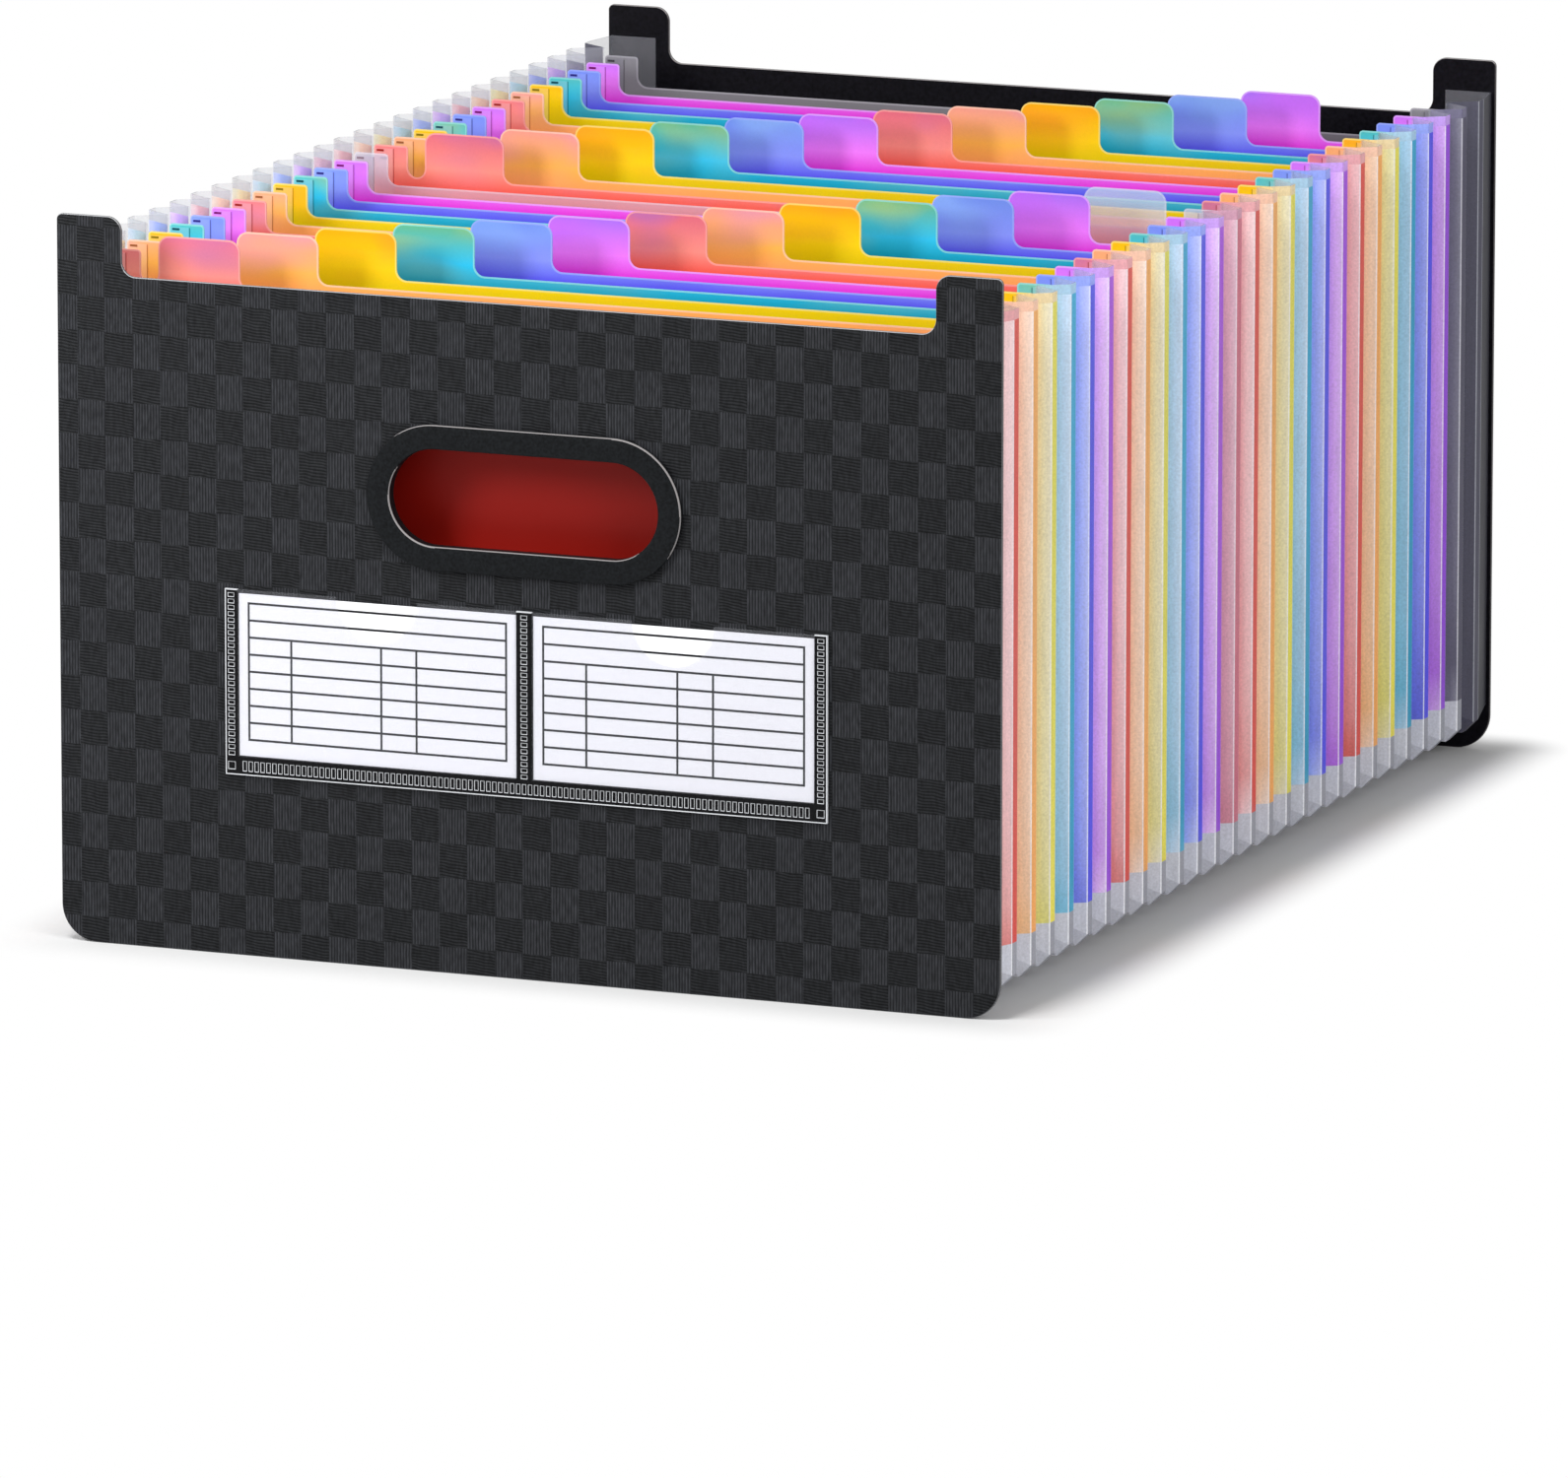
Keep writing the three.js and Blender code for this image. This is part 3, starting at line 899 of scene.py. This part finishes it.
@dataclass
class Handle:
    """The moulded hand grip and the ring that holds it behind the cover."""

    rim_width: float = 8 * MM
    sleeve_wall: float = 1 * MM
    rim_thickness: float = 1.6 * MM
    edge_radius: float = 0.45 * MM
    end_steps: int = 40
    lit_side: float = 0.2
    highlight_level: float = 0.8
    sharp_degrees: float = 60.0
    smooth_degrees: float = 40.0

    def build(self) -> None:
        """Sweeps the section round the slot and finishes the grip and the ring."""
        shape = Shape("handle_grip", "edge", copied=False)
        low, high, bm = shape.low, shape.high, shape.bm
        reach = high.x - (high.z - low.z) / 2
        right, left = (Vector((side * reach, 0.0, (low.z + high.z) / 2)) for side in (1, -1))
        ring = self.section(bm, right)
        for centre, next_centre in ((right, left), (left, right)):
            spun = bmesh.ops.spin(
                bm, geom=ring, cent=centre, axis=(0, 1, 0), dvec=(0, 0, 0),
                angle=math.pi, steps=self.end_steps, use_merge=False, use_duplicate=False)
            edges = [item for item in spun["geom_last"] if isinstance(item, BMEdge)]
            moved = bmesh.ops.extrude_edge_only(bm, edges=edges)["geom"]
            ends = [item for item in moved if isinstance(item, BMVert)]
            bmesh.ops.translate(bm, verts=ends, vec=next_centre - centre)
            ring = ends + [item for item in moved if isinstance(item, BMEdge)]
        bmesh.ops.remove_doubles(bm, verts=bm.verts[:], dist=NEAR)
        bmesh.ops.recalc_face_normals(bm, faces=bm.faces[:])
        rounded = shape.bevel(shape.sharp_edges(self.sharp_degrees), self.edge_radius, segments=4)
        front = low.y + self.rim_thickness / 2
        # Painted highlight on the rounded edges of the front rim that face right or up.
        for face in bm.faces:
            lit = face.normal.x + face.normal.z > self.lit_side and face.calc_center_median().y < front
            painted_highlight = self.highlight_level if face in rounded and lit else 0.0
            shape.paint([face], painted_highlight, painted_highlight, painted_highlight)
        plastic = material("Moulded grip plastic", GrainedPlastic(
            linear(0x101214), roughness=0.46, grain_scale=1100.0, speckle=2.6, specular=0.1))
        shape.replace_node("hand_grip", plastic, self.smooth_degrees)
        finish_node("handle_ring", plastic)

    def section(self, bm: BMesh, centre: Vector) -> list[BMVert | BMEdge]:
        """Draws the grip's section above the right end's centre.

        Args:
            bm: The mesh to draw in.
            centre: Centre of the half-round end.

        Returns:
            The section's vertices and edges.
        """
        low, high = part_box("handle_grip")
        outer = (high[2] - low[2]) / 2
        inner = outer - self.rim_width
        wall = inner + self.sleeve_wall
        behind = low[1] + self.rim_thickness
        outline = [(low[1], inner), (low[1], outer), (behind, outer), (behind, wall),
                   (high[1], wall), (high[1], inner)]
        verts = [bm.verts.new((centre.x, y, centre.z + radius)) for y, radius in outline]
        return verts + [bm.edges.new(pair) for pair in zip(verts, verts[1:] + verts[:1])]


@dataclass
class LabelPocket:
    """The clear label pocket with its weld marks, and the two ruled cards behind it."""

    side_weld: float = 4.4 * MM
    middle_weld: float = 5.4 * MM
    bottom_weld: float = 6.1 * MM
    border_line: float = 0.35 * MM
    mark_pitch: float = 2.1 * MM
    mark_width: float = 1.45 * MM
    mark_proud: float = 0.12 * MM
    mark_wall: float = 0.26 * MM
    mark_sink: float = 0.8
    mark_tone: float = 0.9
    bottom_mark: float = 0.28
    upright_mark: float = 0.26
    corner_mark: float = 0.3
    line_width: float = 0.72 * MM
    line_thickness: float = 0.04 * MM
    row_pitch: float = 5.66 * MM
    form_rows: int = 8
    header_rows: int = 2
    form_side_margin: float = 3.5 * MM
    form_top_margin: float = 3.1 * MM
    form_width: float = 90 * MM
    column_places: tuple[float, ...] = (14.9 * MM, 46.4 * MM, 58.7 * MM)

    def build(self) -> None:
        """Makes the pocket film with its weld marks, and both cards with their rules."""
        shape = Shape("label_pocket", "zone")
        low, high = shape.low, shape.high
        middle = self.middle_weld / 2
        side, floor = high.x - self.side_weld, low.z + self.bottom_weld
        border, foot, head = (
            high.x - self.border_line, low.z + self.border_line, high.z - self.border_line)
        shape.cut(0, [-border, -side, -middle, middle, side, border])
        shape.cut(2, [foot, floor, head])
        for face in shape.bm.faces:
            x, z = abs(face.calc_center_median().x), face.calc_center_median().z
            on_line = x > border or z < foot or z > head and not middle <= x <= side
            shape.paint([face], float(on_line), 0.0, float(middle < x < side and z > floor))
        self.add_weld_marks(shape, middle, side, floor)
        shape.replace_node("label_pocket_film", material("Clear label film", LabelFilm()))
        for node in ("label_card_left", "label_card_right"):
            finish_node(node, material("White card", CardStock()))
            self.rule_card(node)

    def add_weld_marks(self, shape: Shape, middle: float, side: float, floor: float) -> None:
        """Presses small sunken oblongs into the film: a row, three columns and two corner squares.

        Args:
            shape: The film.
            middle: Half width of the middle weld.
            side: Where each window ends, from the middle.
            floor: Height of the windows' bottom.
        """
        low, high = shape.low, shape.high
        half = self.mark_width / 2
        bottom = low.z + self.bottom_weld / 2
        corner = self.side_weld * self.corner_mark
        count = int((2 * side - self.mark_pitch) / self.mark_pitch)
        places = [
            ((index - (count - 1) / 2) * self.mark_pitch, bottom, half, self.bottom_weld * self.bottom_mark)
            for index in range(count)]
        for x in (-(high.x + side) / 2, 0.0, (high.x + side) / 2):
            for index in range(int((high.z - floor) / self.mark_pitch)):
                z = floor + (index + 0.5) * self.mark_pitch
                places.append((x, z, self.side_weld * self.upright_mark, half))
            if abs(x) > middle:
                places.append((x, bottom, corner, corner))
        deep = (low.y - self.mark_proud, low.y + self.mark_proud / 2)
        for x, z, half_width, half_height in places:
            faces = shape.block((x - half_width, x + half_width), deep, (z - half_height, z + half_height))
            shape.paint(faces, self.mark_tone, 0.0, 0.0)
            top = min(faces, key=lambda face: face.calc_center_median().y)
            bmesh.ops.inset_individual(
                shape.bm, faces=[top], thickness=self.mark_wall, depth=-self.mark_proud * self.mark_sink)
            shape.paint([top], 0.0, 0.0, 0.0)

    def rule_card(self, node: str) -> None:
        """Prints a ruled form on one card as a thin layer of ink.

        Args:
            node: The card's CAD node.
        """
        shape = Shape(node, copied=False)
        low, high = shape.low, shape.high
        left, right = low.x + self.form_side_margin, high.x - self.form_side_margin
        top = high.z - self.form_top_margin
        half = self.line_width / 2
        levels = [top - row * self.row_pitch for row in range(self.form_rows + 1)]
        bars = [((left - half, right + half), (z - half, z + half)) for z in levels]
        scale = (right - left) / self.form_width
        columns = [(left + place * scale, self.header_rows) for place in self.column_places]
        for x, first in [(left, 0), (right, 0)] + columns:
            for upper, lower in zip(levels[first:], levels[first + 1:]):
                bars.append(((x - half, x + half), (lower + half, upper - half)))
        for across, up in bars:
            shape.block(across, (low.y - self.line_thickness, low.y), up)
        shape.add_piece(f"{node}_rules", material("Printing ink", PrintInk()))


@dataclass
class Dividers:
    """The tabbed dividers, each cut from one frosted sheet."""

    rim: float = 0.52 * MM
    solid: float = 0.92
    clear_solid: float = 0.42
    smoke_solid: float = 0.8
    weld_strip: float = 7.2 * MM
    weld_drop: float = 1.2 * MM
    strip_proud: float = 0.08 * MM
    seam_width: float = 0.32 * MM
    seam_tone: float = 0.6
    mark_width: float = 2.6 * MM
    mark_height: float = 0.7 * MM
    mark_drop: float = 1.5 * MM
    mark_step: float = 2.6 * MM
    mark_insets: Range = (0.7, 1.2)
    ear_rise: float = 10.5 * MM
    broad_facing: float = 0.9

    @staticmethod
    def nodes() -> list[str]:
        """Names of the divider nodes, front to back."""
        return sorted(name for name in frame["nodes"] if name.startswith("divider_"))

    def build(self) -> None:
        """Makes every divider."""
        tops = [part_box(node)[1][2] for node in self.nodes()]
        for node in self.nodes():
            self.build_one(node, min(tops), max(tops))

    def build_one(self, node: str, ear_top: float, tab_top: float) -> None:
        """Makes one divider with its painted rim highlight, welded ends and weld marks.

        Args:
            node: The divider's CAD node.
            ear_top: Height of the ears of all dividers.
            tab_top: Height of the tabs.
        """
        hue = Hue(node_slot(node))
        shape = Shape(node, "zone")
        broad = [face for face in shape.bm.faces if abs(face.normal.y) > self.broad_facing]
        # The zone's red channel marks the painted rim highlight: every face first, then the broad faces
        # inside the rim are cleared.
        shape.paint(shape.bm.faces, 1.0, 0.0, 0.0)
        bmesh.ops.inset_region(
            shape.bm, faces=broad, use_boundary=True, use_even_offset=True, thickness=self.rim, depth=0.0)
        shape.paint(broad, 0.0, 0.0, 0.0)
        self.add_welds(shape, ear_top)
        solid = {Hue.CLEAR: self.clear_solid, Hue.SMOKE: self.smoke_solid}.get(hue, self.solid)
        finish = DividerSheet(hue.tones, edge=ear_top - self.ear_rise, top=tab_top, solid=solid)
        shape.replace_node(f"{node}_sheet", material(f"Frosted sheet {hue.name.lower()}", finish))

    def add_welds(self, shape: Shape, ear_top: float) -> None:
        """Adds the welded strip down each end, its seam, and two short weld marks at its top.

        Args:
            shape: The divider.
            ear_top: Height of the ears.
        """
        low, high = shape.low, shape.high
        sheet_y, strip_y, mark_y = (low.y - count * self.strip_proud for count in range(3))
        up = (low.z + self.rim, ear_top - self.weld_drop)
        for side in (-1, 1):
            outer = side * (high.x - self.rim)
            inner = side * (high.x - self.weld_strip)
            strip = shape.block(sorted((outer, inner)), (strip_y, sheet_y - TOUCH), up)
            shape.paint(strip, 0.0, 1.0, 0.0)
            half = self.seam_width / 2
            seam = shape.block((inner - half, inner + half), (mark_y, sheet_y - TOUCH), up)
            shape.paint(seam, 0.0, 0.0, self.seam_tone)
            half = self.mark_width / 2
            for step, inset in enumerate(self.mark_insets):
                x = outer - side * self.mark_width * inset
                z = ear_top - self.mark_drop - step * self.mark_step
                mark = shape.block((x - half, x + half), (mark_y, strip_y - TOUCH), (z - self.mark_height, z))
                shape.paint(mark, 0.0, 0.0, 1.0)


@dataclass
class Film:
    """The pleated film that forms the sides and the bottom of the pockets.

    Its tint attribute holds the colour of the dividers behind each pleat, with how solid the film looks there
    as alpha, and painted highlights along and towards the outer creases, and painted shade on the grey outer
    flats low down.
    """

    crease_round: float = 0.3 * MM
    crease_reach: float = 0.2 * MM
    flat_width: float = 4.6 * MM
    pleat_depth: float = 9.5 * MM
    rich_rises: tuple[Range, ...] = (
        (14.7 * MM, 0.8), (28 * MM, 0.5), (56 * MM, 0.28), (110 * MM, 0.12), (250 * MM, 0.0))
    rich_back: float = 0.5
    band_rich: float = 0.22
    band_gain: float = 1.3
    clear_drop: float = 3.3 * MM
    root_share: float = 0.54
    pale_share: float = 0.78
    # Painted highlights: how far the panels whiten towards the creases, and the creases themselves.
    panel_highlight: float = 0.3
    crease_highlight: float = 0.6
    solid: float = 0.95
    flange_solid: float = 0.35
    inner_solid: float = 0.34
    rim_solids: Range = (0.6, 0.3)
    top_solids: Range = (0.5, 0.85)
    top_clears: Range = (0.92, 0.15)
    flange_facing: float = 0.95
    rim_facing: float = 0.9

    @staticmethod
    def dividers() -> list[tuple[float, Hue]]:
        """Place in Y and sheet plastic of each divider, front to back."""
        boxes = [(node, *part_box(node)) for node in Dividers.nodes()]
        return [((low[1] + high[1]) / 2, Hue(node_slot(node))) for node, low, high in boxes]

    def build(self) -> None:
        """Makes the film with painted highlights on its creases and the tints of the dividers behind it."""
        shape = Shape("pleated_film", "tint")
        low, high = shape.low, shape.high
        depths = [high.x - self.pleat_depth * (1 - share) for share in (self.root_share, self.pale_share)]
        shape.cut(2, [low.z + rise for rise, _ in self.rich_rises[:-1]] + [high.z - self.clear_drop])
        shape.cut(0, [side * depth for depth in depths for side in (-1, 1)])
        creased = shape.bevel(self.outer_creases(shape), self.crease_round, segments=2)
        self.paint_pleats(shape, creased)
        film = shape.replace_node("pleated_film_skin", material("Frosted pleat film", PleatFilm()))
        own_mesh(film)

    def outer_creases(self, shape: Shape) -> list[BMEdge]:
        """Finds the outer creases of the pleats, round the sides and the bottom.

        Args:
            shape: The film.

        Returns:
            The edges along the creases.
        """
        side, bottom = shape.high.x - self.crease_reach, shape.low.z + self.crease_reach

        def is_crease(edge: BMEdge) -> bool:
            """Tells whether an edge is long, runs across Y and lies on a pleat's outermost line.

            Args:
                edge: The edge.

            Returns:
                Whether it does.
            """
            first, second = (vert.co for vert in edge.verts)
            outside = all(abs(end.x) > side or end.z < bottom for end in (first, second))
            across, deep, up = (abs(part) for part in first - second)
            return outside and deep < NEAR and up + across > MM

        return [edge for edge in shape.bm.edges if is_crease(edge)]

    def richness(self, rise: float, depth: float) -> float:
        """Works out the share of the stronger colour in a pleat.

        Args:
            rise: Height over the film's bottom.
            depth: Place of the pleat, from 0 at the front cover to 1 at the back one.

        Returns:
            The share, greater low down and in the back half.
        """
        share = self.rich_back * max(2 * depth - 1, 0.0)
        for (lower, first), (upper, second) in zip(self.rich_rises, self.rich_rises[1:]):
            if lower <= rise <= upper:
                share += first + (second - first) * (rise - lower) / (upper - lower)
        return min(share, 1.0)

    def pleat_tint(self, tones: Tones, on_band: bool, share: float, rich: float) -> Colour:
        """Tints a pleat's outer flat or its slanted panel.

        Args:
            tones: Colours of the pleat.
            on_band: Whether the place is on the outer flat.
            share: Place on the panel, from 0 in the valley to 1 at the outer crease.
            rich: Share of the stronger colour.

        Returns:
            The tint there.
        """
        if on_band:
            return mix(tones.band, tones.accent, min(self.band_rich + self.band_gain * rich, 1.0))
        paled = (share - self.root_share) / (self.pale_share - self.root_share)
        # The panel whitens over its outer part as a painted highlight towards the crease.
        highlighted = (share - self.pale_share) / (1 - self.pale_share)
        panel = mix(tones.root, tones.pale, min(max(paled, 0.0), 1.0))
        return mix(mix(panel, CREASE_HIGHLIGHT, self.panel_highlight * max(highlighted, 0.0)), tones.band, rich)

    def paint_pleats(self, shape: Shape, creased: set[BMFace]) -> None:
        """Tints every face by the pleat it belongs to.

        Args:
            shape: The film.
            creased: The narrow faces along the creases.
        """
        low, high = shape.low, shape.high
        rows = self.dividers()
        hues = [hue for _, hue in rows]
        pitch = rows[1][0] - rows[0][0]
        front = rows[0][0] - pitch
        valley = high.x - self.pleat_depth
        flat_share = self.flat_width / pitch / 2
        for face in shape.bm.faces:
            centre = face.calc_center_median()
            pocket = max(0, min(len(hues), int((centre.y - front) / pitch)))
            along = (centre.y - front) / pitch - pocket
            outward = face.normal.x * math.copysign(1.0, centre.x) - face.normal.z
            on_band = abs(along - 0.5) < flat_share
            on_right = int(centre.x >= 0)
            at_top = centre.z > high.z - self.clear_drop
            coloured = centre.z > low.z + self.rich_rises[0][0] and abs(centre.x) > valley - MM
            # Low down, the outer flats get a darker grey as painted shade.
            tint, solid = GREY_FILM_SHADE_AND_HIGHLIGHT if on_band else WHITE_FILM, self.solid
            if abs(face.normal.y) > self.flange_facing:
                tint, solid = FLANGE_FILM, self.flange_solid
            elif face.normal.z > self.rim_facing and at_top:
                tint, solid = CLEAR_EDGE, self.rim_solids[on_right]
            elif at_top and outward > 0 and pocket < len(hues):
                clear, solid = CLEAR_EDGE if face in creased else INNER_FILM, self.top_solids[on_right]
                tint = mix(hues[pocket].tones.root, clear, self.top_clears[on_right])
            elif outward < 0:
                tint, solid = INNER_FILM, self.inner_solid
            elif pocket == len(hues):
                dark = DARK_WALL if along > 0.5 + flat_share else DARK_PLEAT
                # The creases of the last, dark pleat get a painted highlight.
                tint = GREY_FILM_SHADE_AND_HIGHLIGHT if face in creased else dark
            # The creases get a painted highlight: tinted in the coloured part, white elsewhere.
            elif coloured and face in creased:
                tint = mix(hues[pocket].tones.pale, CREASE_HIGHLIGHT, self.crease_highlight)
            elif coloured:
                for loop in face.loops:
                    share = (abs(loop.vert.co.x) - valley) / self.pleat_depth
                    rich = self.richness(loop.vert.co.z - low.z, pocket / len(hues))
                    tint = self.pleat_tint(hues[pocket].tones, on_band, share, rich)
                    loop[shape.layer] = (*tint[:3], solid)
                continue
            elif face in creased:
                tint = CREASE_HIGHLIGHT
            shape.paint([face], *tint[:3], solid)


@dataclass(frozen=True)
class Viewpoint:
    """The photograph's view: where the camera stands, what it aims at, and its lens."""

    azimuth: float = 21.974
    elevation: float = 11.582
    roll: float = 0.039
    distance: float = 5.55
    lens: float = 377.93
    sensor: float = 36.0
    clip_end: float = 100.0
    aim_right: float = -3.74 * MM
    aim_up: float = 34.78 * MM

    def build(self) -> None:
        """Makes the camera and gives it to the scene."""
        azimuth, elevation, roll = (
            math.radians(value) for value in (self.azimuth, self.elevation, self.roll))
        outward = Vector((
            math.cos(elevation) * math.sin(azimuth), -math.cos(elevation) * math.cos(azimuth),
            math.sin(elevation)))
        level = outward.cross(Vector((0, 0, 1))).normalized() * -1
        upward = outward.cross(level)
        place = level * self.aim_right + upward * self.aim_up + outward * self.distance
        right = math.cos(roll) * level + math.sin(roll) * upward
        upward = math.cos(roll) * upward - math.sin(roll) * level
        data = bpy.data.cameras.new("photo_camera")
        data.lens, data.sensor_width, data.clip_end = self.lens, self.sensor, self.clip_end
        camera = bpy.data.objects.new("photo_camera", data)
        turn = Matrix((right, upward, outward)).transposed().to_4x4()
        camera.matrix_world = Matrix.Translation(place) @ turn
        bpy.context.scene.collection.objects.link(camera)
        bpy.context.scene.camera = camera


@dataclass(frozen=True)
class Lamp:
    """A square soft lamp, unseen by the camera, that faces the file."""

    name: str
    place: tuple[float, float, float]
    size: float
    power: float
    aim: tuple[float, float, float] = (0.0, 0.0, 0.1)

    def build(self) -> None:
        """Makes the lamp."""
        data = bpy.data.lights.new(self.name, "AREA")
        data.energy, data.size = self.power, self.size
        lamp = bpy.data.objects.new(self.name, data)
        lamp.visible_camera = False
        turn = (Vector(self.aim) - Vector(self.place)).to_track_quat("-Z", "Y")
        lamp.matrix_world = Matrix.Translation(self.place) @ turn.to_matrix().to_4x4()
        bpy.context.scene.collection.objects.link(lamp)


@dataclass
class Studio:
    """Pale floor, soft lamps and a white surround."""

    floor_reach: float = 30.0
    surround: float = 0.44
    lamps: tuple[Lamp, ...] = (
        Lamp("key_lamp", (-0.2, -1.35, 2.35), size=0.7, power=38.0),
        Lamp("side_lamp", (2.3, -1.5, 1.3), size=1.5, power=39.0),
        Lamp("near_lamp", (-0.46, -0.72, 0.5), size=0.24, power=3.4))

    def build(self) -> None:
        """Makes the floor, the lamps and the world."""
        _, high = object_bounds()
        bm = bmesh.new()
        bmesh.ops.create_grid(bm, x_segments=1, y_segments=1, size=self.floor_reach)
        floor = add_object(bm, "studio_floor", material("Pale floor", FloorPaint(high[0], high[1])))
        floor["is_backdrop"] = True
        for lamp in self.lamps:
            lamp.build()
        self.build_world()

    def build_world(self) -> None:
        """Makes the surround: full white where it is looked at, softer where it lights."""
        world = bpy.data.worlds.new("studio_world")
        world.use_nodes = True
        world.node_tree.nodes.clear()
        graph = Graph(world.node_tree)
        seen = graph.add("ShaderNodeLightPath").outputs["Is Camera Ray"]
        strength = graph.remap(seen, 0.0, 1.0, self.surround, 1.0)
        back = graph.add("ShaderNodeBackground", {"Color": WHITE, "Strength": strength})
        graph.feed(graph.add("ShaderNodeOutputWorld").inputs["Surface"], back.outputs[0])
        bpy.context.scene.world = world


def main() -> None:
    """Builds the camera, the pieces and the studio in order."""
    logging.basicConfig(level=logging.INFO, format="%(name)s: %(message)s")
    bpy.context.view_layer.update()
    Viewpoint().build()
    for part in (Covers(), Handle(), LabelPocket(), Dividers(), Film(), Studio()):
        part.build()
        LOG.info("built %s", type(part).__name__)
    scene = bpy.context.scene
    scene.view_settings.view_transform = "Standard"
    scene.cycles.transparent_max_bounces = 32


if __name__ == "__main__":
    main()
